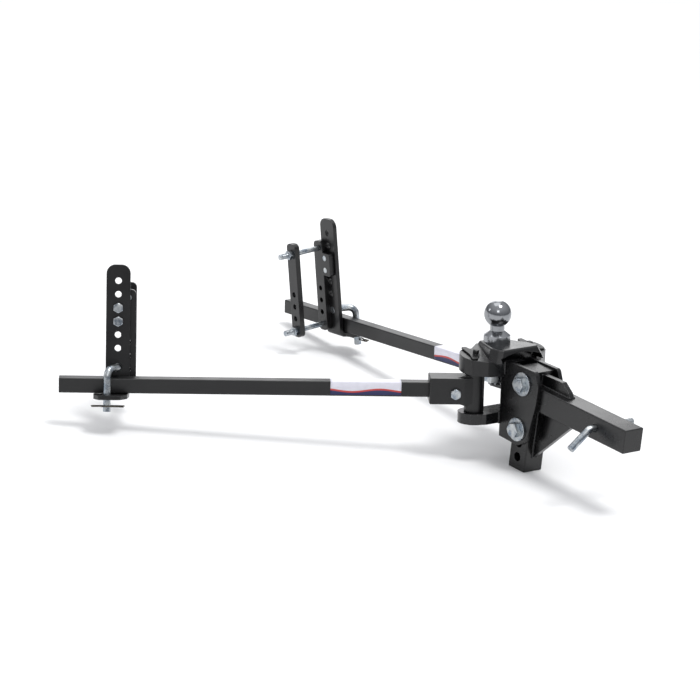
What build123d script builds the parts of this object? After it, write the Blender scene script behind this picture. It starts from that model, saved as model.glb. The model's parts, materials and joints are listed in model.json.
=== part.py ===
from build123d import *
import math
import os

# Weight distribution hitch, millimetres.
# Origin: hitch-pin hole in the receiver shank. +X forward, +Y left, +Z up.

# Shank and post
TUBE = 50.8                   # square bar of the shank and of the post
SHANK_FRONT = 90.0
POST_X = -220.5               # middle of the post
POST_TOP = 55.0
POST_BOTTOM = -168.5
POST_FRONT = POST_X + TUBE / 2
HOLE_PITCH = 31.75
LOWEST_HOLE = -141.4
POST_HOLES = 5                # evenly spaced, with one more near the top
TOP_HOLE = 23.3
POST_HOLE_R = 10.0
HITCH_PIN_R = 7.94
HITCH_PIN_HOLE_R = 8.35
GUSSET = 12.0

# Head: its frame stands on the line between the two trunnion axes and leans back
HEAD_X = -325.6
HEAD_Z = -17.5
HEAD_TILT = 7.0
TRUNNION_Y = 75.2
EAR_R = 34.0
UPPER_EAR = (39.0, 76.0)
EAR_BACK = 86.0               # height of the arms' tops 60 behind and 60 before the trunnions
EAR_FRONT = 62.0
LOWER_EAR = (-71.0, -48.0)
CROWN_FOOT = 64.0
CROWN_TOP = 91.0
BALL_X = -19.5
BALL_R = 29.37
BALL_Z = 151.2
SHANK_R = 15.875
PLATE = 9.5                   # side plates and bracket plates
PLATE_IN = 25.8               # inner face of a side plate
PLATE_OUT = PLATE_IN + PLATE
HEAD_BOLT_R = 9.525
HEAD_BOLT_AF = 28.6
WASHER = 4.0
WASHER_R = 25.0

# Trunnions and spring bars
BARREL_R = 21.0
TRUNNION_PIN_R = 12.6
BAR_LENGTH = 877.6            # trunnion axis to free end
BAR_W = 28.6
BAR_H = 31.75
SOCKET_END = 97.0
SOCKET_START = 30.0
BLOCK_W = 54.0
BLOCK_H = 56.0
BAR_BOLT_R = 6.35
BAR_BOLT_AT = 41.6
BAR_BOLT_Z = -5.0
SPLAY_RIGHT = 55.1
SPLAY_LEFT = 1.0

# Brackets: x along the bar, y across it, z up the upright
LEAN = 6.3
BRACKET_RIGHT = 755.0
BRACKET_LEFT = 668.0
UPRIGHT_W = 50.8
UPRIGHT_TOP = 252.0
UPRIGHT_OUT = -16.5           # face of the upright next to the bar
UPRIGHT_IN = UPRIGHT_OUT - PLATE
SHELF_TOP = -17.9
CLAMP_X = -22.0
CLAMP_W = 31.75
CLAMP_T = 12.7
FRAME_FACE = UPRIGHT_IN - 0.1
RAIL_FACE = -102.0            # clamp plate, rail side
CLAMP_BOLT_R = 6.0
CLAMP_BOLT_Z = (1.0, 182.0)
SPARE_Z = (29.5, 58.0, 86.7)
LINK_PITCH = 28.575
LINK_HOLES = [75.1 + LINK_PITCH * k for k in range(6)]
LINK_BOLTS = (LINK_HOLES[2], LINK_HOLES[3])
LINK_BOLT_R = 6.35
PIN_R = 7.94
PIN_HOLE_R = 8.4
PIN_Z = 35.0
LEG_X = 21.0
LEG_Y = 25.4
LEG_END = -54.0
CLIP_Z = -42.0
CLIP_R = 1.6


def hex_radius(across_flats):
    return across_flats / math.sqrt(3)


def save(piece, name, frame=Plane.XY):
    """Place a piece that was drawn in its own frame and write it."""
    placed = piece.moved(frame.location)
    placed.label = name
    export_step(placed, f"parts/{name}.step")


def hex_prism(plane, spots, across_flats, height):
    """Hexagons standing on a plane, the corners of their free ends turned off at 30 degrees."""
    corner = hex_radius(across_flats)
    flat_r = 0.475 * across_flats
    drop = (corner - flat_r) * math.tan(math.radians(30))
    with BuildPart() as prisms:
        with BuildSketch(plane):
            with Locations(*spots):
                RegularPolygon(corner, 6)
        extrude(amount=height)
    stand = (Align.CENTER, Align.CENTER, Align.MIN)
    with BuildPart(plane) as turned:
        with Locations(*[(x, y, 0) for x, y in spots]):
            Cylinder(corner, height - drop, align=stand)
        with Locations(*[(x, y, height - drop) for x, y in spots]):
            Cone(corner, flat_r, drop, align=stand)
    return prisms.part & turned.part


def hex_nut(plane, spots, across_flats, height, bore_r):
    """Hex nuts standing on a plane, one at each spot."""
    with BuildPart() as nuts:
        add(hex_prism(plane, spots, across_flats, height))
        with BuildSketch(plane):
            with Locations(*spots):
                Circle(bore_r)
        extrude(amount=height, mode=Mode.SUBTRACT)
    return nuts.part


def hex_bolt(plane, spots, across_flats, head, radius, length):
    """Hex bolts: heads on the side the plane faces, shanks away from it."""
    with BuildPart() as bolts:
        add(hex_prism(plane, spots, across_flats, head))
        with BuildSketch(plane):
            with Locations(*spots):
                Circle(radius)
        extrude(amount=-length)
    return bolts.part


os.makedirs("parts", exist_ok=True)

# ---------------------------------------------------------------- frames
tilt = math.radians(HEAD_TILT)
head_up = Vector(-math.sin(tilt), 0, math.cos(tilt))
head_forward = Vector(math.cos(tilt), 0, math.sin(tilt))
head = Plane(origin=(HEAD_X, 0, HEAD_Z), x_dir=head_forward, z_dir=head_up)


def bar_frame(side, splay):
    """x runs out along the bar; side is -1 for the right bar, 1 for the left."""
    angle = math.radians(splay)
    along = head_forward * -math.cos(angle) + Vector(0, side * math.sin(angle), 0)
    origin = head.from_local_coords(Vector(0, side * TRUNNION_Y, 0))
    return Plane(origin=origin, x_dir=along, z_dir=head_up)


def bracket_frame(bar, at, turned):
    """Frame of a bracket on a bar; the left one is turned half round."""
    along = bar.x_dir * (-1 if turned else 1)
    across = bar.y_dir * (-1 if turned else 1)
    lean = math.radians(LEAN)
    up = head_up * math.cos(lean) - across * math.sin(lean)
    return Plane(origin=bar.origin + bar.x_dir * at, x_dir=along, z_dir=up)


bar_right = bar_frame(-1, SPLAY_RIGHT)
bar_left = bar_frame(1, SPLAY_LEFT)
bracket_right = bracket_frame(bar_right, BRACKET_RIGHT, False)
bracket_left = bracket_frame(bar_left, BRACKET_LEFT, True)

# ---------------------------------------------------------------- shank
with BuildPart() as shank_bar:
    with BuildSketch(Plane.YZ.offset(POST_FRONT)):
        RectangleRounded(TUBE, TUBE, 3)
    extrude(amount=SHANK_FRONT - POST_FRONT)
    chamfer(shank_bar.faces().sort_by(Axis.X)[-1].edges(), 1.5)
    with BuildSketch(Plane.XZ.offset(-TUBE)):
        Circle(HITCH_PIN_HOLE_R)
    extrude(amount=2 * TUBE, mode=Mode.SUBTRACT)
save(shank_bar.part, "shank_bar")

post_holes = [LOWEST_HOLE + k * HOLE_PITCH for k in range(POST_HOLES)] + [TOP_HOLE]
with BuildPart() as shank_post:
    with BuildSketch(Plane.XY.offset(POST_BOTTOM)):
        with Locations((POST_X, 0)):
            RectangleRounded(TUBE, TUBE, 3)
    extrude(amount=POST_TOP - POST_BOTTOM)
    with BuildSketch(Plane.XZ.offset(-TUBE)):
        for height in post_holes:
            with Locations((POST_X, height)):
                Circle(POST_HOLE_R)
    extrude(amount=2 * TUBE, mode=Mode.SUBTRACT)
save(shank_post.part, "shank_post")

with BuildPart() as lower_gusset:
    with BuildSketch(Plane.XZ):
        with BuildLine():
            Polyline((POST_FRONT, -25.4), (POST_FRONT, -138), (-82, -25.4), close=True)
        make_face()
    extrude(amount=GUSSET / 2, both=True)
save(lower_gusset.part, "lower_gusset")

with BuildPart() as upper_gusset:
    with BuildSketch(Plane.XZ):
        with BuildLine():
            Polyline((POST_FRONT, 25.4), (POST_FRONT, 50), (-133, 52), (-110, 36), (-103, 25.4), close=True)
        make_face()
    extrude(amount=GUSSET / 2, both=True)
save(upper_gusset.part, "upper_gusset")

# ---------------------------------------------------------------- hitch pin
with BuildPart() as hitch_pin:
    with BuildLine(Plane.YZ):
        FilletPolyline((80, 0), (-40, 0), (-86, -38), radius=17)
    with BuildSketch(Plane.XZ.offset(-80)):
        Circle(HITCH_PIN_R)
    sweep()
    chamfer(hitch_pin.edges().group_by(Axis.Y)[-1], 2)
    with BuildSketch(Plane.XY.offset(-TUBE)):
        with Locations((0, 70)):
            Circle(2)
    extrude(amount=2 * TUBE, mode=Mode.SUBTRACT)
save(hitch_pin.part, "hitch_pin")

# ---------------------------------------------------------------- head
head_holes = [head.to_local_coords(Vector(POST_X, 0, post_holes[k])) for k in (2, -1)]
bolt_spots = [(spot.X, spot.Z) for spot in head_holes]

for side_name, face in (("right", PLATE_IN), ("left", -PLATE_OUT)):
    with BuildPart() as side_plate:
        with BuildSketch(Plane.XZ.offset(face)) as outline:
            with BuildLine():
                Polyline((38, 60), (59, 68), (148, 60), (158, 30), (152, -8),
                         (125, -96), (99, -108), (38, -99), close=True)
            make_face()
            fillet(outline.vertices().group_by(Axis.X)[1:], 10)
            with Locations(*bolt_spots):
                Circle(HEAD_BOLT_R + 0.4, mode=Mode.SUBTRACT)
        extrude(amount=PLATE)
        chamfer(side_plate.faces().sort_by(Axis.Y)[0].outer_wire().edges(), 0.8)
    save(side_plate.part, f"side_plate_{side_name}", head)

ear_low, ear_high = UPPER_EAR
# Seen from the side the arms drop towards the plates; this is the slope of their tops
drop = math.atan2(EAR_BACK - EAR_FRONT, 120)
ear_top = Plane(origin=(0, 0, (EAR_BACK + EAR_FRONT) / 2),
                x_dir=(math.cos(drop), 0, -math.sin(drop)), z_dir=(math.sin(drop), 0, math.cos(drop)))
with BuildPart() as ball_carrier:
    with BuildSketch(Plane.XY.offset(ear_low - 10)) as arms:
        with BuildLine():
            half = Polyline((-50, 0), (-50, -32), (-31, -61), (-34, -TRUNNION_Y), (0, -107),
                            (22, -103), (42, -74), (52, -36), (37.9, -36),
                            (37.9, -25.5), (48, -25.5), (48, 0))
            mirror(half, about=Plane.XZ)
        make_face()
        with Locations((0, TRUNNION_Y), (0, -TRUNNION_Y)):
            Circle(EAR_R)
    extrude(amount=ear_high - ear_low + 20)
    with BuildSketch(Plane.XZ):
        with BuildLine():
            Polyline((-60, 49), (-60, EAR_BACK), (60, EAR_FRONT), (60, 31), close=True)
        make_face()
    extrude(amount=4 * EAR_R, both=True, mode=Mode.INTERSECT)
    with BuildSketch(Plane.XY.offset(CROWN_FOOT)):
        with BuildLine():
            Polyline((-50, -38), (30, -66), (58, -66), (66, -58),
                     (66, 58), (58, 66), (30, 66), (-50, 38), close=True)
        make_face()
    with BuildSketch(Plane.XY.offset(CROWN_TOP)):
        with BuildLine():
            Polyline((-48, -24), (24, -54), (50, -54), (58, -46),
                     (58, 46), (50, 54), (24, 54), (-48, 24), close=True)
        make_face()
    loft()
    fillet(ball_carrier.faces().sort_by(Axis.Z)[-1].edges(), 6)
    # The crown arches over the side plates and the post
    with BuildSketch(Plane.YZ.offset(37.9)):
        with BuildLine():
            Polyline((-56, 74), (-56, 60), (56, 60), (56, 74))
            ThreePointArc((56, 74), (0, 83), (-56, 74))
        make_face()
    extrude(amount=UPRIGHT_W, mode=Mode.SUBTRACT)
    with BuildSketch(Plane.XY.offset(ear_low - 10)):
        with Locations((0, TRUNNION_Y), (0, -TRUNNION_Y)):
            Circle(BARREL_R + 1)
    extrude(amount=10, mode=Mode.SUBTRACT)
    with BuildSketch(Plane.XY.offset(ear_low - 10)):
        with Locations((BALL_X, 0)):
            Circle(28)
    extrude(amount=10, mode=Mode.SUBTRACT)
    with BuildSketch(Plane.XY.offset(ear_low)):
        with Locations((BALL_X, 0)):
            Circle(SHANK_R + 0.3)
    extrude(amount=CROWN_TOP, mode=Mode.SUBTRACT)
    with BuildSketch(Plane.XY.offset(ear_low)):
        with Locations((0, TRUNNION_Y), (0, -TRUNNION_Y)):
            Circle(TRUNNION_PIN_R + 0.08)
    extrude(amount=26.5, mode=Mode.SUBTRACT)
    with BuildSketch(ear_top.offset(-8.5)):
        with Locations((0, TRUNNION_Y), (0, -TRUNNION_Y)):
            Circle(4.1)
    extrude(amount=20, mode=Mode.SUBTRACT)
save(ball_carrier.part, "ball_carrier", head)

low_low, low_high = LOWER_EAR
with BuildPart() as lower_carrier:
    with BuildSketch(Plane.XY.offset(low_low)):
        with BuildLine():
            half = Polyline((-20, 0), (-20, -45), (-31, -61), (-34, -TRUNNION_Y), (0, -107),
                            (22, -102), (37.9, -72), (37.9, -25.5), (62, -25.5), (62, 0))
            mirror(half, about=Plane.XZ)
        make_face()
        with Locations((0, TRUNNION_Y), (0, -TRUNNION_Y)):
            Circle(EAR_R)
            Circle(TRUNNION_PIN_R + 0.08, mode=Mode.SUBTRACT)
    extrude(amount=low_high - low_low)
save(lower_carrier.part, "lower_carrier", head)

# Washers between the lower carrier and the post set how far the head leans
SPACER_Z = -59.5
with BuildPart() as tilt_spacers:
    for k in range(3):
        with BuildSketch(Plane.YZ.offset(62.1 + 3.2 * k)):
            with Locations((0, SPACER_Z)):
                Circle(11)
        extrude(amount=3.1)
save(tilt_spacers.part, "tilt_spacers", head)

with BuildPart() as tow_ball:
    with BuildSketch(Plane.XZ):
        with BuildLine():
            neck_join = -math.sqrt(BALL_R ** 2 - 15.5 ** 2)
            top_join = math.sqrt(BALL_R ** 2 - 9 ** 2)
            Polyline((15.5, BALL_Z + neck_join), (15.5, BALL_Z - 36), (28.7, BALL_Z - 46),
                     (28.7, CROWN_TOP + 0.1), (SHANK_R, CROWN_TOP + 0.1), (SHANK_R, 0), (13.5, -3),
                     (0, -3), (0, BALL_Z + top_join), (9, BALL_Z + top_join))
            ThreePointArc((9, BALL_Z + top_join), (BALL_R, BALL_Z), (15.5, BALL_Z + neck_join))
        make_face()
    revolve(axis=Axis.Z)
save(tow_ball.part.moved(Location((BALL_X, 0, 0))), "tow_ball", head)

with BuildPart() as ball_lock_washer:
    with BuildSketch(Plane.XY.offset(ear_low - 7.1)):
        with Locations((BALL_X, 0)):
            Circle(27)
            Circle(SHANK_R + 0.3, mode=Mode.SUBTRACT)
        with Locations((BALL_X - 22, 0)):
            Rectangle(20, 3, mode=Mode.SUBTRACT)
    extrude(amount=7)
save(ball_lock_washer.part, "ball_lock_washer", head)

ball_nut = hex_nut(Plane.XY.offset(ear_low - 34.2), [(BALL_X, 0)], 47.6, 27, SHANK_R + 0.1)
save(ball_nut, "ball_nut", head)

washer_face = PLATE_OUT + 0.05
bolt_face = washer_face + WASHER + 0.05
head_bolts = hex_bolt(Plane.XZ.offset(bolt_face), bolt_spots, HEAD_BOLT_AF, 12.4,
                      HEAD_BOLT_R, bolt_face + 63)
save(head_bolts, "head_bolts", head)
head_nuts = hex_nut(Plane.XZ.offset(-bolt_face - 16.5), bolt_spots, HEAD_BOLT_AF, 16.5, HEAD_BOLT_R + 0.08)
save(head_nuts, "head_nuts", head)

with BuildPart() as head_washers:
    for face in (washer_face, -washer_face - WASHER):
        with BuildSketch(Plane.XZ.offset(face)):
            with Locations(*bolt_spots):
                Circle(WASHER_R)
                Circle(HEAD_BOLT_R + 0.3, mode=Mode.SUBTRACT)
        extrude(amount=WASHER)
save(head_washers.part, "head_washers", head)

# ---------------------------------------------------------------- trunnion locks
with BuildPart() as trunnion_lock:
    with BuildSketch(Plane.XY.offset(0.3)) as tab:
        with BuildLine():
            Polyline((-38, 2), (-38, -9), (0, -16), (22, -26), (24, -14), (8, 4), (-8, 8), close=True)
        make_face()
        fillet(tab.vertices(), 2.5)
        Circle(9)
    extrude(amount=3)
    with BuildSketch(Plane.XY.offset(3.3)):
        Circle(6.5)
    extrude(amount=9)
    fillet(trunnion_lock.faces().sort_by(Axis.Z)[-1].edges(), 2)
    with BuildSketch(Plane.XY.offset(-8)):
        Circle(4)
    extrude(amount=8.4)

with BuildPart() as trunnion_lock_mirrored:
    add(mirror(trunnion_lock.part, about=Plane.XZ, mode=Mode.PRIVATE))

for side_name, lock, side in (("right", trunnion_lock, -1), ("left", trunnion_lock_mirrored, 1)):
    on_ear = lock.part.moved(ear_top.location).moved(Location((0, side * TRUNNION_Y, 0)))
    save(on_ear, f"trunnion_lock_{side_name}", head)

# ---------------------------------------------------------------- trunnions and bars
with BuildPart() as trunnion_block:
    with BuildSketch(Plane.XY.offset(-BLOCK_H / 2)):
        with BuildLine():
            half = Polyline((0, 0), (0, -19), (24, -BLOCK_W / 2), (SOCKET_END, -BLOCK_W / 2),
                            (SOCKET_END, 0))
            mirror(half, about=Plane.XZ)
        make_face()
    extrude(amount=BLOCK_H)
    chamfer(trunnion_block.faces().sort_by(Axis.X)[-1].edges(), 2)
    with BuildSketch(Plane.XZ):
        with BuildLine():
            Polyline((0, -35), (20, -34), (38, -BLOCK_H / 2), (38, BLOCK_H / 2), (20, 32), (0, 33), close=True)
        make_face()
    extrude(amount=17, both=True)
    with BuildSketch(Plane.XY.offset(low_high + 0.3)):
        Circle(BARREL_R)
    extrude(amount=ear_low - low_high - 0.6)
    with BuildSketch(Plane.XY.offset(low_low + 0.5)):
        Circle(TRUNNION_PIN_R)
    extrude(amount=ear_low + 25 - low_low)
    with BuildSketch(Plane.YZ.offset(SOCKET_START - 0.3)):
        Rectangle(BAR_W + 0.1, BAR_H + 0.1)
    extrude(amount=SOCKET_END, mode=Mode.SUBTRACT)
    with BuildSketch(Plane.XZ.offset(-BLOCK_W)):
        with Locations((BAR_BOLT_AT, BAR_BOLT_Z)):
            Circle(BAR_BOLT_R + 0.3)
    extrude(amount=2 * BLOCK_W, mode=Mode.SUBTRACT)

with BuildPart() as spring_bar:
    with BuildSketch(Plane.YZ.offset(SOCKET_START)):
        RectangleRounded(BAR_W, BAR_H, 2.5)
    extrude(amount=BAR_LENGTH - SOCKET_START)
    chamfer(spring_bar.faces().sort_by(Axis.X)[-1].edges(), 1)
    with BuildSketch(Plane.XZ.offset(-BLOCK_W)):
        with Locations((BAR_BOLT_AT, BAR_BOLT_Z)):
            Circle(BAR_BOLT_R + 0.3)
    extrude(amount=2 * BLOCK_W, mode=Mode.SUBTRACT)

bar_bolt_spot = [(BAR_BOLT_AT, BAR_BOLT_Z)]
bar_bolt = hex_bolt(Plane.ZX.offset(BLOCK_W / 2 + 0.1), [(BAR_BOLT_Z, BAR_BOLT_AT)], 20.6, 8,
                    BAR_BOLT_R, BLOCK_W + 15)
bar_nut = hex_nut(Plane.XZ.offset(BLOCK_W / 2 + 0.1), bar_bolt_spot, 20.6, 10.5, BAR_BOLT_R + 0.08)

for side_name, frame in (("right", bar_right), ("left", bar_left)):
    save(trunnion_block.part, f"trunnion_block_{side_name}", frame)
    save(spring_bar.part, f"spring_bar_{side_name}", frame)
    save(bar_bolt, f"bar_bolt_{side_name}", frame)
    save(bar_nut, f"bar_nut_{side_name}", frame)

# ---------------------------------------------------------------- brackets
ELBOW_Z = SHELF_TOP + 4
SHELF_LOW = SHELF_TOP - PLATE
with BuildPart() as bracket_upright:
    with BuildSketch(Plane.XZ.offset(-UPRIGHT_OUT)) as strap:
        with BuildLine():
            Polyline((-25.4, ELBOW_Z), (25.4, ELBOW_Z), (25.4, UPRIGHT_TOP), (-25.4, UPRIGHT_TOP), close=True)
        make_face()
        fillet(strap.vertices().group_by(Axis.Y)[-1], 19)
        for height in LINK_HOLES:
            with Locations((0, height)):
                Circle(7, mode=Mode.SUBTRACT)
        with Locations((0, PIN_Z)):
            Circle(PIN_HOLE_R, mode=Mode.SUBTRACT)
    extrude(amount=PLATE)
    with BuildSketch(Plane.YZ.offset(-UPRIGHT_W / 2)):
        with BuildLine():
            Line((UPRIGHT_OUT, ELBOW_Z), (UPRIGHT_IN, ELBOW_Z))
            Line((-12.5, SHELF_LOW), (-12.5, SHELF_TOP))
            RadiusArc((UPRIGHT_IN, ELBOW_Z), (-12.5, SHELF_LOW), -13.5)
            RadiusArc((-12.5, SHELF_TOP), (UPRIGHT_OUT, ELBOW_Z), 4)
        make_face()
    extrude(amount=UPRIGHT_W)
    with BuildSketch(Plane.XY.offset(SHELF_LOW)) as shelf:
        with BuildLine():
            Polyline((-25.4, -12.5), (25.4, -12.5), (44, -2), (49.5, 8), (49.5, 26),
                     (38, 45), (-6, 45), (-21.2, 24), close=True)
        make_face()
        fillet(shelf.vertices().group_by(Axis.Y)[-1], 9)
        with Locations((LEG_X, LEG_Y)):
            Circle(PIN_HOLE_R, mode=Mode.SUBTRACT)
    extrude(amount=PLATE)

with BuildPart() as frame_plate:
    with BuildSketch(Plane.XZ.offset(-FRAME_FACE)):
        with Locations((CLAMP_X, 92.5)):
            RectangleRounded(CLAMP_W, 213, 11)
        with Locations((CLAMP_X + 25.4, (LINK_BOLTS[0] + LINK_BOLTS[1]) / 2)):
            RectangleRounded(CLAMP_W, 53, 5)
        for height in SPARE_Z + CLAMP_BOLT_Z:
            with Locations((CLAMP_X, height)):
                Circle(CLAMP_BOLT_R + 0.05, mode=Mode.SUBTRACT)
        for height in LINK_BOLTS:
            with Locations((0, height)):
                Circle(LINK_BOLT_R + 0.05, mode=Mode.SUBTRACT)
    extrude(amount=CLAMP_T)

with BuildPart() as clamp_plate:
    with BuildSketch(Plane.XZ.offset(-RAIL_FACE)):
        with Locations((CLAMP_X, 96.5)):
            RectangleRounded(CLAMP_W, 221, 11)
        for height in SPARE_Z + CLAMP_BOLT_Z:
            with Locations((CLAMP_X, height)):
                Circle(CLAMP_BOLT_R + 0.4, mode=Mode.SUBTRACT)
    extrude(amount=CLAMP_T)

clamp_spots = [(CLAMP_X, height) for height in CLAMP_BOLT_Z]
NUT_FACE = -RAIL_FACE + CLAMP_T + 0.1
with BuildPart() as clamp_studs:
    with BuildSketch(Plane.XZ.offset(-FRAME_FACE + 0.2)):
        with Locations(*clamp_spots):
            Circle(CLAMP_BOLT_R)
    extrude(amount=NUT_FACE + 33 + FRAME_FACE)
    chamfer(clamp_studs.edges().group_by(Axis.Y)[0], 1)

clamp_nuts = hex_nut(Plane.XZ.offset(NUT_FACE), clamp_spots, 19, 10.5, CLAMP_BOLT_R + 0.08)

# The link bolts screw into the frame plate and end flush, so that the rail gap stays clear
link_bolts = hex_bolt(Plane.ZX.offset(UPRIGHT_OUT + 0.1), [(height, 0) for height in LINK_BOLTS],
                      19, 7.5, LINK_BOLT_R, UPRIGHT_OUT - FRAME_FACE + CLAMP_T)

with BuildPart() as retaining_pin:
    with BuildLine():
        FilletPolyline((0, UPRIGHT_IN + 0.2, PIN_Z), (0, -4, PIN_Z), (LEG_X, LEG_Y, PIN_Z),
                       (LEG_X, LEG_Y, LEG_END), radius=17)
    with BuildSketch(Plane.XZ.offset(-UPRIGHT_IN - 0.2)):
        with Locations((0, PIN_Z)):
            Circle(PIN_R)
    sweep()
    with BuildSketch(Plane.YZ):
        with Locations((LEG_Y, CLIP_Z)):
            Circle(CLIP_R + 0.2)
    extrude(amount=2 * LEG_X, mode=Mode.SUBTRACT)

outer_leg = PIN_R + CLIP_R + 0.3
with BuildPart() as retaining_clip:
    with BuildLine(Plane.XY.offset(CLIP_Z)):
        FilletPolyline((-16, LEG_Y), (54, LEG_Y), (51, LEG_Y + 9.5), (37, LEG_Y + 6),
                       (LEG_X + 9, LEG_Y + outer_leg), (-2, LEG_Y + outer_leg),
                       (-14, LEG_Y + outer_leg + 4), radius=2.4)
    with BuildSketch(Plane.YZ.offset(-16)):
        with Locations((LEG_Y, CLIP_Z)):
            Circle(CLIP_R)
    sweep()

for side_name, frame in (("right", bracket_right), ("left", bracket_left)):
    save(bracket_upright.part, f"bracket_upright_{side_name}", frame)
    save(frame_plate.part, f"frame_plate_{side_name}", frame)
    save(clamp_plate.part, f"clamp_plate_{side_name}", frame)
    save(clamp_studs.part, f"clamp_studs_{side_name}", frame)
    save(clamp_nuts, f"clamp_nuts_{side_name}", frame)
    save(link_bolts, f"link_bolts_{side_name}", frame)
    save(retaining_pin.part, f"retaining_pin_{side_name}", frame)
    save(retaining_clip.part, f"retaining_clip_{side_name}", frame)
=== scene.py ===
"""Looks of a weight distribution hitch: finishes, bar labels, weld beads, threads and the studio."""
import json
import math

import bmesh
import bpy
from mathutils import Matrix, Vector


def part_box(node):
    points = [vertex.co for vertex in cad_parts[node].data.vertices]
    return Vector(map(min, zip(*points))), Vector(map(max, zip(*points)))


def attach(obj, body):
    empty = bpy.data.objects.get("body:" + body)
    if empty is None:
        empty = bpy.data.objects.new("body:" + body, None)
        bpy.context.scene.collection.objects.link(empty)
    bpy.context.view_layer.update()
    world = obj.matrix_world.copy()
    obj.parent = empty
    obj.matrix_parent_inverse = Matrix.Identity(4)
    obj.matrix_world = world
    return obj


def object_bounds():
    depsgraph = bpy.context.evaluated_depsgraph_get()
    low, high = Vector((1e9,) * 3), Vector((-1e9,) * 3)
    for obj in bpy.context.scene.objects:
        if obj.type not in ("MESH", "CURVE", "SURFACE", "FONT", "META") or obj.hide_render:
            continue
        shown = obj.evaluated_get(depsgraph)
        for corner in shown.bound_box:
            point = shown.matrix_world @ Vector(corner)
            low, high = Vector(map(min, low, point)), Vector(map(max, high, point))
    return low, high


bl_info = {
    "name": "Weight Distribution Hitch",
    "version": (1, 0, 0),
    "blender": (4, 5, 0),
    "location": "3D View > Sidebar > Hitch",
    "description": "Finishes, labels, welds and threads for a trailer hitch",
    "category": "Object",
}

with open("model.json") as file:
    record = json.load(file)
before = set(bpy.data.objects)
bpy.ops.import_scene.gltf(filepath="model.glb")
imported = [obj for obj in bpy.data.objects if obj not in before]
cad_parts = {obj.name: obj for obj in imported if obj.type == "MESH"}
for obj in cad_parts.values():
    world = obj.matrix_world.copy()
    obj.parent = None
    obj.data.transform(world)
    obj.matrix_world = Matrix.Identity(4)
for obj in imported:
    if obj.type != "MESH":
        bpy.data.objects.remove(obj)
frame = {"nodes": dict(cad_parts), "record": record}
CAD_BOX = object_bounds()
NODES = frame["nodes"]
RECORD = frame["record"]
JOINTS = {joint["name"]: joint for joint in RECORD["behaviour"]["joints"]}
SIDES = ("right", "left")

# Sizes that the finishes need, in metres
BAR_HALF = (0.0143, 0.015875)       # half width and half height of a spring bar
BAR_CORNER = 0.0025
STUD_RADIUS = 0.006
RAIL_FACE = -0.102                  # rail side of the clamp plate, across the bracket
STUD_TIP = -0.1479
STUD_ACROSS = -0.022                # studs, along the bar from the middle of the upright
STUD_HEIGHTS = (0.001, 0.182)

# Places in the leaning head, in millimetres
HEAD_BOLTS = ((109.3, 27.7), (96.95, -72.8))
BALL_X = -19.5
BALL_SHANK_END = (4.3, -1.0)        # heights of the bare end of the ball's shank

BRACKET_LEAN = math.radians(6.3)
BRACKET_AT = {"right": 0.755, "left": -0.668}
HEAD_UP = Vector(JOINTS["bar_swing_right"]["axis"])
HEAD_FORWARD = Vector((HEAD_UP.z, 0, -HEAD_UP.x))
HEAD_ORIGIN = Vector((JOINTS["bar_swing_right"]["pos_m"][0], 0, JOINTS["bar_swing_right"]["pos_m"][2]))


# ------------------------------------------------------------------ helpers
def srgb(code):
    """Linear RGBA from an sRGB hex value such as #0c0c0d."""
    parts = [int(code[i:i + 2], 16) / 255 for i in (1, 3, 5)]
    linear = [c / 12.92 if c <= 0.04045 else ((c + 0.055) / 1.055) ** 2.4 for c in parts]
    return (*linear, 1.0)


def node(tree, kind, inputs=None, **settings):
    """Add a node, set its properties, then its inputs: a socket makes a link, anything else a value."""
    new = tree.nodes.new(kind)
    for key, value in settings.items():
        setattr(new, key, value)
    for key, value in (inputs or {}).items():
        if isinstance(value, bpy.types.NodeSocket):
            tree.links.new(value, new.inputs[key])
        else:
            new.inputs[key].default_value = value
    return new


def new_material(name):
    """An empty material with its output; returns the material and its tree."""
    material = bpy.data.materials.new(name)
    material.use_nodes = True
    material.node_tree.nodes.clear()
    return material, material.node_tree


def ramp(tree, factor, low, high, dark, light):
    """Map a value from low..high to dark..light, clamped at both ends."""
    spread = node(tree, "ShaderNodeMapRange", {0: factor, 1: low, 2: high, 3: dark, 4: light})
    return spread.outputs[0]


def head_point(x, y, z):
    """A point of the leaning head, in millimetres, as a place in the row frame."""
    return HEAD_ORIGIN + (HEAD_FORWARD * x + Vector((0, y, 0)) + HEAD_UP * z) / 1000


def bar_axes(side):
    """Place and axes of a spring bar: x out along it, z up the trunnion."""
    along = Vector(JOINTS[f"bracket_slide_{side}"]["axis"])
    return Vector(JOINTS[f"bar_swing_{side}"]["pos_m"]), along, HEAD_UP.cross(along), HEAD_UP


def bracket_axes(side):
    """Place and axes of a bracket: x along the bar, y across it, z up the upright."""
    origin, along, _, _ = bar_axes(side)
    reach = abs(BRACKET_AT[side])
    x_axis = Vector(JOINTS[f"clip_pull_{side}"]["axis"])
    across = HEAD_UP.cross(x_axis)
    z_axis = HEAD_UP * math.cos(BRACKET_LEAN) - across * math.sin(BRACKET_LEAN)
    return origin + along * reach, x_axis, z_axis.cross(x_axis), z_axis


def link(name, mesh):
    """Put a mesh in the scene as an object at the origin."""
    piece = bpy.data.objects.new(name, mesh)
    bpy.context.scene.collection.objects.link(piece)
    return piece


def baked(piece):
    """Replace a piece's live modifiers by their result."""
    depsgraph = bpy.context.evaluated_depsgraph_get()
    mesh = bpy.data.meshes.new_from_object(piece.evaluated_get(depsgraph), depsgraph=depsgraph)
    piece.modifiers.clear()
    piece.data = mesh
    return piece


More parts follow.
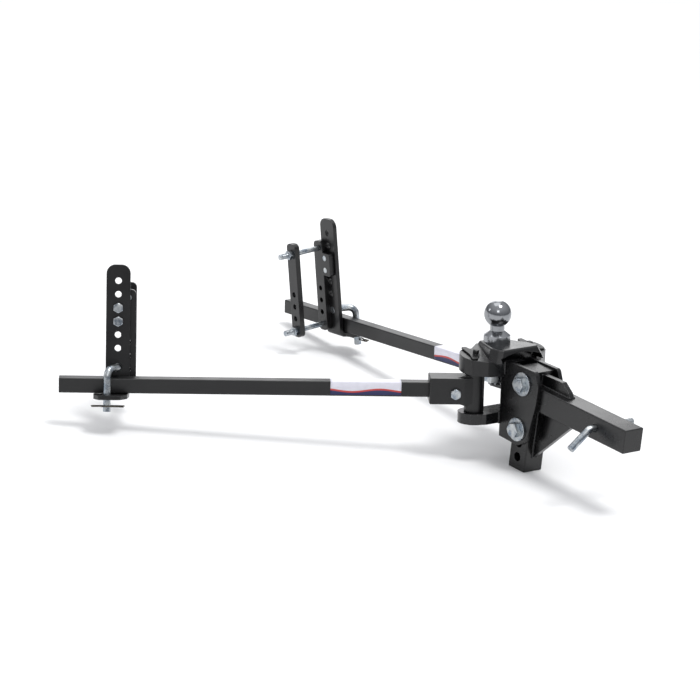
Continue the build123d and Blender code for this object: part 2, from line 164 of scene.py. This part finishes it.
# ------------------------------------------------------------------ finishes
def edge_mask(tree, radius):
    """(rounded normal, how near a sharp edge: 0 on a face, 1 on the edge)."""
    rounded = node(tree, "ShaderNodeBevel", {"Radius": radius}, samples=6)
    flat = node(tree, "ShaderNodeNewGeometry")
    turn = node(tree, "ShaderNodeVectorMath",
                {0: rounded.outputs[0], 1: flat.outputs["True Normal"]}, operation="DOT_PRODUCT")
    return rounded.outputs[0], ramp(tree, turn.outputs["Value"], 0.995, 0.86, 0.0, 1.0)


def powder_coat(name, colour, edge_wear_and_sheen, rough_low, rough_high, peel_mm=2.4):
    """Powder coat, sprayed and oven cured: glossy black, fine orange peel, edges painted lighter as partly
    thin worn coat and partly a painted edge highlight.
    """
    material, tree = new_material(name)
    place = node(tree, "ShaderNodeTexCoord").outputs["Object"]
    peel = node(tree, "ShaderNodeTexNoise", {"Vector": place, "Scale": 1000 / peel_mm, "Detail": 2.0})
    cloud = node(tree, "ShaderNodeTexNoise", {"Vector": place, "Scale": 1000 / 70, "Detail": 4.0})
    grit = node(tree, "ShaderNodeTexNoise", {"Vector": place, "Scale": 1000 / 6, "Detail": 3.0})
    normal, edge = edge_mask(tree, 0.0016)
    broken = ramp(tree, grit.outputs["Fac"], 0.42, 0.62, 0.15, 1.0)
    # Edges painted lighter where this mask is high: partly coat wear, partly a painted edge highlight.
    wear_and_sheen_mask = node(tree, "ShaderNodeMath", {0: edge, 1: broken}, operation="MULTIPLY")
    tone = node(tree, "ShaderNodeMix", {0: wear_and_sheen_mask.outputs[0], 6: colour, 7: edge_wear_and_sheen}, data_type="RGBA")
    bump = node(tree, "ShaderNodeBump", {
        "Strength": 0.22, "Distance": 0.0003, "Height": peel.outputs["Fac"], "Normal": normal})
    shader = node(tree, "ShaderNodeBsdfPrincipled", {
        "Base Color": tone.outputs[2], "Metallic": 0.0, "IOR": 1.5,
        "Roughness": ramp(tree, cloud.outputs["Fac"], 0.3, 0.7, rough_low, rough_high),
        "Normal": bump.outputs[0]})
    node(tree, "ShaderNodeOutputMaterial", {0: shader.outputs[0]})
    return material


def zinc_plate(name):
    """Clear zinc plate over steel, barrel plated: bluish silver, clouded, with soft dull patches and a
    painted highlight along sharp edges.
    """
    material, tree = new_material(name)
    place = node(tree, "ShaderNodeTexCoord").outputs["Object"]
    cloud = node(tree, "ShaderNodeTexNoise", {"Vector": place, "Scale": 1000 / 14, "Detail": 4.0})
    grain = node(tree, "ShaderNodeTexNoise", {"Vector": place, "Scale": 1000 / 1.6, "Detail": 2.0})
    tint = node(tree, "ShaderNodeMix", {0: ramp(tree, cloud.outputs["Fac"], 0.35, 0.68, 0.0, 1.0),
                                        6: srgb("#7e8893"), 7: srgb("#c6c9c9")}, data_type="RGBA")
    normal, edge = edge_mask(tree, 0.0012)
    # Painted highlight: sharp edges are mixed towards a brighter silver.
    tone = node(tree, "ShaderNodeMix", {0: edge, 6: tint.outputs[2], 7: srgb("#dde1e5")},
                data_type="RGBA")
    bump = node(tree, "ShaderNodeBump", {
        "Strength": 0.25, "Distance": 0.0002, "Height": grain.outputs["Fac"], "Normal": normal})
    shader = node(tree, "ShaderNodeBsdfPrincipled", {
        "Base Color": tone.outputs[2], "Metallic": 1.0,
        "Roughness": ramp(tree, cloud.outputs["Fac"], 0.3, 0.7, 0.2, 0.38), "Normal": bump.outputs[0]})
    node(tree, "ShaderNodeOutputMaterial", {0: shader.outputs[0]})
    return material


def ball_chrome(name):
    """Chrome plate over forged steel, turned and buffed: a near mirror with faint turning lines."""
    material, tree = new_material(name)
    place = node(tree, "ShaderNodeTexCoord").outputs["Object"]
    squeezed = node(tree, "ShaderNodeMapping", {"Vector": place, "Scale": (0.05, 0.05, 1.0)})
    lines = node(tree, "ShaderNodeTexNoise", {
        "Vector": squeezed.outputs[0], "Scale": 1000 / 0.9, "Detail": 2.0})
    haze = node(tree, "ShaderNodeTexNoise", {"Vector": place, "Scale": 1000 / 18, "Detail": 3.0})
    tone = node(tree, "ShaderNodeMix", {0: haze.outputs["Fac"], 6: srgb("#808285"), 7: srgb("#9a9c9f")},
                data_type="RGBA")
    bump = node(tree, "ShaderNodeBump", {
        "Strength": 0.05, "Distance": 0.0001, "Height": lines.outputs["Fac"]})
    shader = node(tree, "ShaderNodeBsdfPrincipled", {
        "Base Color": tone.outputs[2], "Metallic": 1.0,
        "Roughness": ramp(tree, haze.outputs["Fac"], 0.3, 0.7, 0.12, 0.2), "Normal": bump.outputs[0]})
    node(tree, "ShaderNodeOutputMaterial", {0: shader.outputs[0]})
    return material


def spring_wire(name):
    """Oil-tempered spring wire, drawn: dark grey steel with a dull sheen."""
    material, tree = new_material(name)
    place = node(tree, "ShaderNodeTexCoord").outputs["Object"]
    cloud = node(tree, "ShaderNodeTexNoise", {"Vector": place, "Scale": 1000 / 5, "Detail": 3.0})
    tone = node(tree, "ShaderNodeMix", {0: cloud.outputs["Fac"], 6: srgb("#34322f"), 7: srgb("#6a655d")},
                data_type="RGBA")
    bump = node(tree, "ShaderNodeBump", {
        "Strength": 0.2, "Distance": 0.0001, "Height": cloud.outputs["Fac"]})
    shader = node(tree, "ShaderNodeBsdfPrincipled", {
        "Base Color": tone.outputs[2], "Metallic": 1.0,
        "Roughness": ramp(tree, cloud.outputs["Fac"], 0.3, 0.7, 0.35, 0.5), "Normal": bump.outputs[0]})
    node(tree, "ShaderNodeOutputMaterial", {0: shader.outputs[0]})
    return material


def label_vinyl(name, paper, red, navy):
    """Printed vinyl film, laid on by hand: pale panel, red wave, navy foot, soft gloss, wrinkles."""
    material, tree = new_material(name)
    around = node(tree, "ShaderNodeTexCoord").outputs["UV"]
    parts = node(tree, "ShaderNodeSeparateXYZ", {0: around})
    along, up = parts.outputs["X"], parts.outputs["Y"]
    folded = node(tree, "ShaderNodeMath", {0: 3.0, 1: up}, operation="SUBTRACT")
    height = node(tree, "ShaderNodeMath", {0: up, 1: folded.outputs[0]}, operation="MINIMUM")
    turn = node(tree, "ShaderNodeMath", {0: along, 1: 2 * math.pi / 0.8, 2: -2 * math.pi * 0.7 / 0.8},
                operation="MULTIPLY_ADD")
    swing = node(tree, "ShaderNodeMath", {0: turn.outputs[0]}, operation="COSINE")
    crest = node(tree, "ShaderNodeMath", {0: swing.outputs[0], 1: 0.10, 2: 0.41}, operation="MULTIPLY_ADD")
    over = node(tree, "ShaderNodeMath", {0: height.outputs[0], 1: crest.outputs[0]}, operation="SUBTRACT")
    in_red = ramp(tree, over.outputs[0], -0.01, 0.01, 1.0, 0.0)
    in_navy = ramp(tree, over.outputs[0], -0.14, -0.12, 1.0, 0.0)
    place = node(tree, "ShaderNodeTexCoord").outputs["Object"]
    faded = node(tree, "ShaderNodeTexNoise", {"Vector": place, "Scale": 1000 / 25, "Detail": 3.0})
    clean = node(tree, "ShaderNodeMix", {0: ramp(tree, faded.outputs["Fac"], 0.3, 0.7, 0.0, 0.5),
                                         6: paper, 7: srgb("#c9c8d2")}, data_type="RGBA")
    waved = node(tree, "ShaderNodeMix", {0: in_red, 6: clean.outputs[2], 7: red}, data_type="RGBA")
    footed = node(tree, "ShaderNodeMix", {0: in_navy, 6: waved.outputs[2], 7: navy}, data_type="RGBA")
    crease = node(tree, "ShaderNodeTexNoise", {"Vector": place, "Scale": 1000 / 9, "Detail": 2.0})
    bump = node(tree, "ShaderNodeBump", {
        "Strength": 0.12, "Distance": 0.0003, "Height": crease.outputs["Fac"]})
    shader = node(tree, "ShaderNodeBsdfPrincipled", {
        "Base Color": footed.outputs[2], "Metallic": 0.0, "IOR": 1.46,
        "Roughness": ramp(tree, faded.outputs["Fac"], 0.3, 0.7, 0.3, 0.45), "Normal": bump.outputs[0]})
    node(tree, "ShaderNodeOutputMaterial", {0: shader.outputs[0]})
    return material


def studio_floor(name, colour):
    """Matt painted studio floor: even and pale, with a trace of unevenness."""
    material, tree = new_material(name)
    place = node(tree, "ShaderNodeTexCoord").outputs["Object"]
    cloud = node(tree, "ShaderNodeTexNoise", {"Vector": place, "Scale": 0.7, "Detail": 2.0})
    shader = node(tree, "ShaderNodeBsdfPrincipled", {
        "Base Color": colour, "Specular IOR Level": 0.0,
        "Roughness": ramp(tree, cloud.outputs["Fac"], 0.3, 0.7, 0.85, 0.95)})
    node(tree, "ShaderNodeOutputMaterial", {0: shader.outputs[0]})
    return material


# ------------------------------------------------------------------ geometry nodes
def rows_tree(name, shape):
    """A tree that repeats a small shape along the edges of a mesh, then fixes its material."""
    tree = bpy.data.node_groups.new(name, "GeometryNodeTree")
    tree.interface.new_socket("Geometry", in_out="INPUT", socket_type="NodeSocketGeometry")
    for label, kind in (("Step", "NodeSocketFloat"), ("Radius", "NodeSocketFloat"),
                        ("Swell", "NodeSocketFloat"), ("Finish", "NodeSocketMaterial")):
        tree.interface.new_socket(label, in_out="INPUT", socket_type=kind)
    tree.interface.new_socket("Geometry", in_out="OUTPUT", socket_type="NodeSocketGeometry")
    given = node(tree, "NodeGroupInput")
    path = node(tree, "GeometryNodeMeshToCurve", {"Mesh": given.outputs["Geometry"]})
    points = node(tree, "GeometryNodeResampleCurve",
                  {"Curve": path.outputs[0], "Length": given.outputs["Step"]}, mode="LENGTH")
    heading = node(tree, "GeometryNodeInputTangent")
    turn = node(tree, "FunctionNodeAlignRotationToVector", {"Vector": heading.outputs[0]}, axis="Z")
    if shape == "ripple":
        unit = node(tree, "GeometryNodeMeshIcoSphere",
                    {"Radius": given.outputs["Radius"], "Subdivisions": 2})
        unit_mesh = unit.outputs["Mesh"]
    else:
        ring = node(tree, "GeometryNodeCurvePrimitiveCircle",
                    {"Resolution": 28, "Radius": given.outputs["Radius"]})
        crest = node(tree, "GeometryNodeCurvePrimitiveCircle",
                     {"Resolution": 4, "Radius": given.outputs["Swell"]})
        unit = node(tree, "GeometryNodeCurveToMesh",
                    {"Curve": ring.outputs[0], "Profile Curve": crest.outputs[0]})
        unit_mesh = unit.outputs["Mesh"]
    size = node(tree, "FunctionNodeRandomValue",
                {"Min": (0.86, 0.86, 0.7), "Max": (1.12, 1.12, 0.9), "Seed": 7}, data_type="FLOAT_VECTOR")
    copies = node(tree, "GeometryNodeInstanceOnPoints", {
        "Points": points.outputs[0], "Instance": unit_mesh, "Rotation": turn.outputs[0],
        "Scale": size.outputs[0] if shape == "ripple" else (1.0, 1.0, 1.0)})
    real = node(tree, "GeometryNodeRealizeInstances", {"Geometry": copies.outputs[0]})
    done = node(tree, "GeometryNodeSetMaterial",
                {"Geometry": real.outputs[0], "Material": given.outputs["Finish"]})
    node(tree, "NodeGroupOutput", {0: done.outputs[0]})
    return tree


def repeated(name, tree, lines, values, body):
    """Run a tree over straight or bent lines of points and keep its result as a plain mesh."""
    mesh = bpy.data.meshes.new(name)
    points, edges = [], []
    for line in lines:
        first = len(points)
        points += [tuple(point) for point in line]
        edges += [(first + i, first + i + 1) for i in range(len(line) - 1)]
    mesh.from_pydata(points, edges, [])
    piece = link(name, mesh)
    modifier = piece.modifiers.new("Rows", "NODES")
    modifier.node_group = tree
    for item in tree.interface.items_tree:
        if item.in_out == "INPUT" and item.name in values:
            modifier[item.identifier] = values[item.name]
    baked(piece)
    for polygon in piece.data.polygons:
        polygon.use_smooth = True
    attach(piece, body)
    return piece


# ------------------------------------------------------------------ properties
class HitchSizes(bpy.types.PropertyGroup):
    """Sizes a user would change."""
    label_start: bpy.props.FloatProperty(
        name="Label start", description="From the trunnion axis to the near end of a bar's label",
        default=0.156, unit="LENGTH")
    label_length: bpy.props.FloatProperty(
        name="Label length", description="Length of the label along a bar", default=0.15, unit="LENGTH")
    weld_radius: bpy.props.FloatProperty(
        name="Weld radius", description="Half the width of a weld bead",
        default=0.0034, unit="LENGTH")
    weld_step: bpy.props.FloatProperty(
        name="Weld step", description="Distance between two ripples of a bead",
        default=0.0028, unit="LENGTH")
    thread_pitch: bpy.props.FloatProperty(
        name="Thread pitch", description="Distance between two thread crests",
        default=0.002, unit="LENGTH")


class HitchColours(bpy.types.PropertyGroup):
    """Colours a user would change."""
    coat: bpy.props.FloatVectorProperty(
        name="Powder coat", description="Colour of the coated steel", subtype="COLOR", size=4,
        default=srgb("#080809"))
    # Lighter edge colour: partly thin worn coat, partly a painted edge highlight.
    edge_wear_and_sheen: bpy.props.FloatVectorProperty(
        name="Coat edge", description="Colour of the coat where it is thin, along edges",
        subtype="COLOR", size=4, default=srgb("#343436"))
    paper: bpy.props.FloatVectorProperty(
        name="Label panel", description="Pale ground of the label", subtype="COLOR", size=4,
        default=srgb("#e3e2ec"))
    red: bpy.props.FloatVectorProperty(
        name="Label wave", description="Red wave of the label", subtype="COLOR", size=4,
        default=srgb("#c23a36"))
    navy: bpy.props.FloatVectorProperty(
        name="Label foot", description="Navy foot of the label", subtype="COLOR", size=4,
        default=srgb("#252a58"))
    floor: bpy.props.FloatVectorProperty(
        name="Floor", description="Colour of the studio floor", subtype="COLOR", size=4,
        default=srgb("#f2f2f2"))


# ------------------------------------------------------------------ operators
class HITCH_OT_finishes(bpy.types.Operator):
    """Give every solid of the hitch its finish"""
    bl_idname = "hitch.finishes"
    bl_label = "Finishes"

    def execute(self, context):
        colours = context.scene.hitch_colours
        # Edge colour: partly coat wear, partly a painted edge highlight.
        coat, edge_wear_and_sheen = tuple(colours.coat), tuple(colours.edge_wear_and_sheen)
        finishes = {
            "powder_coat": powder_coat("powder_coat_gloss", coat, edge_wear_and_sheen, 0.2, 0.32),
            "bar_powder_coat": powder_coat("powder_coat_bar", coat, edge_wear_and_sheen, 0.32, 0.44, 3.0),
            "bracket_powder_coat": powder_coat("powder_coat_bracket", coat, edge_wear_and_sheen, 0.26, 0.38),
            "lock_black": powder_coat("oxide_black_lock", coat, edge_wear_and_sheen, 0.3, 0.45, 1.5),
            "zinc_plate": zinc_plate("zinc_plate_clear"),
            "ball_chrome": ball_chrome("ball_chrome_buffed"),
            "spring_wire": spring_wire("spring_wire_tempered"),
        }
        for entry in RECORD["subparts"]:
            piece = NODES[entry["node"]]
            finish = finishes[entry["material_slot"]]
            if not piece.material_slots:
                piece.data.materials.append(finish)
            for place in piece.material_slots:
                place.material = finish
        return {"FINISHED"}


class HITCH_OT_labels(bpy.types.Operator):
    """Wrap a plain printed label round each spring bar"""
    bl_idname = "hitch.labels"
    bl_label = "Bar labels"

    def execute(self, context):
        sizes, colours = context.scene.hitch_sizes, context.scene.hitch_colours
        vinyl = label_vinyl("label_vinyl_printed", tuple(colours.paper), tuple(colours.red),
                            tuple(colours.navy))
        lift = 0.00015                  # the film stands this far off the bar
        half_w, half_h = BAR_HALF[0] + lift, BAR_HALF[1] + lift
        corner = BAR_CORNER + lift
        foot = 0.05 * half_h - half_h + corner
        # Round the section: across the bar, up the bar, and 0..3 for one side, the top, the other side
        wrap = [(half_w, foot, 0.02)]
        corners = ((half_w - corner, half_h - corner), (corner - half_w, half_h - corner))
        for quarter, (cy, cz) in enumerate(corners):
            for k in range(5):
                angle = math.radians(90 * quarter + 22.5 * k)
                wrap.append((cy + corner * math.cos(angle), cz + corner * math.sin(angle),
                             0.92 + quarter + 0.16 * k / 4))
        wrap.append((-half_w, foot, 2.98))
        for side in SIDES:
            origin, x_axis, y_axis, z_axis = bar_axes(side)
            mesh = bpy.data.meshes.new(f"label_{side}")
            build = bmesh.new()
            uv = build.loops.layers.uv.new("UVMap")
            steps = 24
            grid = []
            for i in range(steps + 1):
                reach = sizes.label_start + sizes.label_length * i / steps
                grid.append([build.verts.new(origin + x_axis * reach + y_axis * y + z_axis * z)
                             for y, z, _ in wrap])
            for i in range(steps):
                for j in range(len(wrap) - 1):
                    face = build.faces.new((grid[i][j], grid[i + 1][j], grid[i + 1][j + 1], grid[i][j + 1]))
                    face.smooth = True
                    for loop, (a, b) in zip(face.loops, ((i, j), (i + 1, j), (i + 1, j + 1), (i, j + 1))):
                        along = 1 - a / steps if side == "right" else a / steps
                        loop[uv].uv = (along, wrap[b][2])
            build.normal_update()
            middle = grid[steps // 2][0].link_faces[0]
            if middle.normal.dot(y_axis) < 0:
                bmesh.ops.reverse_faces(build, faces=build.faces[:])
            build.to_mesh(mesh)
            build.free()
            piece = link(f"label_{side}", mesh)
            mesh.materials.append(vinyl)
            solid = piece.modifiers.new("Film", "SOLIDIFY")
            solid.thickness = 0.0001
            solid.offset = 1.0
            baked(piece)
            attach(piece, f"bar_{side}")
        return {"FINISHED"}


class HITCH_OT_welds(bpy.types.Operator):
    """Lay rippled weld beads along the joints of the head"""
    bl_idname = "hitch.welds"
    bl_label = "Weld beads"

    def execute(self, context):
        sizes, colours = context.scene.hitch_sizes, context.scene.hitch_colours
        # Weld coat edges are painted lighter too: partly wear, partly a painted edge highlight.
        finish = powder_coat("powder_coat_weld", tuple(colours.coat), tuple(colours.edge_wear_and_sheen),
                             0.2, 0.34, 1.6)
        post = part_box("shank_post")
        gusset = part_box("lower_gusset")
        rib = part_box("upper_gusset")
        front, half = post[1][0], post[1][1]
        lines = []
        for side in (-1, 1):
            lines.append([(front, side * half, z) for z in (-half, half)])
            lines.append([(front, side * half, half), (front, side * rib[1][1], half)])
            lines.append([(front, side * half, -half), (front, side * gusset[1][1], -half)])
            lines.append([(front, side * gusset[1][1], gusset[0][2] + 0.002),
                          (front, side * gusset[1][1], -half),
                          (gusset[1][0] - 0.002, side * gusset[1][1], -half)])
            lines.append([(front, side * rib[1][1], rib[1][2] - 0.004), (front, side * rib[1][1], half),
                          (rib[1][0] - 0.002, side * rib[1][1], half)])
            lines.append([head_point(52, side * 36.5, z) for z in (40, 64)])
            lines.append([head_point(x, side * 36.2, 76) for x in (42, 52)])
            lines.append([head_point(38, side * 36.3, z) for z in (-70, -48)])
            lines.append([head_point(37, side * y, -47.5) for y in (36, 26)])
        tree = rows_tree("WeldRipples", "ripple")
        repeated("weld_beads", tree, lines,
                 {"Step": sizes.weld_step, "Radius": sizes.weld_radius, "Finish": finish},
                 "hitch_head")
        return {"FINISHED"}


class HITCH_OT_threads(bpy.types.Operator):
    """Lay thread crests on the free ends of the studs, bolts and ball shank"""
    bl_idname = "hitch.threads"
    bl_label = "Threads"

    def execute(self, context):
        sizes = context.scene.hitch_sizes
        finish = NODES["head_bolts"].material_slots[0].material
        tree = rows_tree("ThreadCrests", "crest")
        for side in SIDES:
            origin, x_axis, y_axis, z_axis = bracket_axes(side)
            lines = []
            for height in STUD_HEIGHTS:
                start = origin + x_axis * STUD_ACROSS + z_axis * height
                lines.append([start + y_axis * (RAIL_FACE - 0.0235), start + y_axis * (STUD_TIP + 0.001)])
            repeated(f"stud_threads_{side}", tree, lines,
                     {"Step": sizes.thread_pitch, "Radius": STUD_RADIUS, "Swell": 0.0006, "Finish": finish},
                     f"bracket_{side}")
        nuts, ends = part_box("head_nuts"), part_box("head_bolts")
        lines = []
        for x, z in HEAD_BOLTS:
            place = head_point(x, 0, z)
            lines.append([(place.x, y, place.z) for y in (nuts[1][1] + 0.001, ends[1][1] - 0.001)])
        repeated("bolt_threads", tree, lines,
                 {"Step": sizes.thread_pitch, "Radius": 0.0095, "Swell": 0.0007, "Finish": finish},
                 "hitch_head")
        repeated("ball_shank_threads", tree, [[head_point(BALL_X, 0, z) for z in BALL_SHANK_END]],
                 {"Step": sizes.thread_pitch, "Radius": 0.0158, "Swell": 0.0008,
                  "Finish": NODES["tow_ball"].material_slots[0].material}, "hitch_head")
        return {"FINISHED"}


class HITCH_OT_stage(bpy.types.Operator):
    """Set the pale floor, the soft lights and the camera"""
    bl_idname = "hitch.stage"
    bl_label = "Stage"

    def execute(self, context):
        scene = context.scene
        middle = Vector([(low + high) / 2 for low, high in zip(*CAD_BOX)])
        floor_z = CAD_BOX[0][2] - 0.001
        mesh = bpy.data.meshes.new("floor")
        reach = 40.0
        mesh.from_pydata([(x, y, floor_z) for x, y in ((-reach, -reach), (reach, -reach),
                                                       (reach, reach), (-reach, reach))], [], [(0, 1, 2, 3)])
        mesh.materials.append(studio_floor("studio_floor", tuple(scene.hitch_colours.floor)))
        link("floor", mesh)

        for name, spot, width, power in (
                ("top_softbox", (-0.6, 0.4, 2.6), 1.8, 14),
                ("front_softbox", (2.4, -1.6, 2.2), 1.1, 12),
                ("side_strip", (-2.2, -2.6, 1.6), 0.9, 8),
                ("rear_card", (-2.4, 2.0, 1.15), 2.0, 22)):
            lamp = bpy.data.lights.new(name, "AREA")
            lamp.size = width
            lamp.energy = power
            holder = bpy.data.objects.new(name, lamp)
            scene.collection.objects.link(holder)
            holder.location = middle + Vector(spot)
            holder.rotation_euler = (middle - holder.location).to_track_quat("-Z", "Y").to_euler()

        window = bpy.data.lights.new("window", "SUN")
        window.energy = 1.4
        window.angle = math.radians(18)
        holder = bpy.data.objects.new("window", window)
        scene.collection.objects.link(holder)
        holder.rotation_euler = Vector((-0.22, -0.12, -0.97)).to_track_quat("-Z", "Y").to_euler()

        world = bpy.data.worlds.new("studio")
        world.use_nodes = True
        tree = world.node_tree
        tree.nodes.clear()
        look = node(tree, "ShaderNodeTexCoord").outputs["Generated"]
        height = node(tree, "ShaderNodeSeparateXYZ", {0: look}).outputs["Z"]
        sky = node(tree, "ShaderNodeMix", {0: ramp(tree, height, 0.05, 0.75, 0.0, 1.0),
                                           6: srgb("#8a8c90"), 7: srgb("#e6e7ea")}, data_type="RGBA")
        back = node(tree, "ShaderNodeBackground", {"Color": sky.outputs[2], "Strength": 1.0})
        node(tree, "ShaderNodeOutputWorld", {0: back.outputs[0]})
        scene.world = world

        right = Vector((0.60558, 0.78955, 0.09940)).normalized()
        toward = Vector((0.73337, -0.60221, 0.31547)).normalized()
        up = toward.cross(right)
        camera = bpy.data.cameras.new("camera")
        camera.sensor_width = 36.0
        camera.lens = 160.14
        camera.clip_end = 80.0
        holder = bpy.data.objects.new("camera", camera)
        scene.collection.objects.link(holder)
        turn = Matrix((right, up, toward)).transposed()
        holder.matrix_world = Matrix.Translation((4.3312, -4.2494, 2.1169)) @ turn.to_4x4()
        scene.camera = holder
        scene.view_settings.view_transform = "Standard"
        return {"FINISHED"}


class HITCH_PT_panel(bpy.types.Panel):
    """Lists the hitch's sizes, colours and operators"""
    bl_idname = "HITCH_PT_panel"
    bl_label = "Hitch"
    bl_space_type = "VIEW_3D"
    bl_region_type = "UI"
    bl_category = "Hitch"

    def draw(self, context):
        for group in (context.scene.hitch_sizes, context.scene.hitch_colours):
            for key in group.bl_rna.properties.keys():
                if key not in ("rna_type", "name"):
                    self.layout.prop(group, key)
        for operator in OPERATORS:
            self.layout.operator(operator.bl_idname)


OPERATORS = (HITCH_OT_finishes, HITCH_OT_labels, HITCH_OT_welds, HITCH_OT_threads, HITCH_OT_stage)
CLASSES = (HitchSizes, HitchColours, *OPERATORS, HITCH_PT_panel)


def register():
    for item in CLASSES:
        bpy.utils.register_class(item)
    bpy.types.Scene.hitch_sizes = bpy.props.PointerProperty(type=HitchSizes)
    bpy.types.Scene.hitch_colours = bpy.props.PointerProperty(type=HitchColours)


def unregister():
    del bpy.types.Scene.hitch_colours
    del bpy.types.Scene.hitch_sizes
    for item in reversed(CLASSES):
        bpy.utils.unregister_class(item)


def main():
    register()
    bpy.ops.hitch.finishes()
    bpy.ops.hitch.labels()
    bpy.ops.hitch.welds()
    bpy.ops.hitch.threads()
    bpy.ops.hitch.stage()


if __name__ == "__main__":
    main()
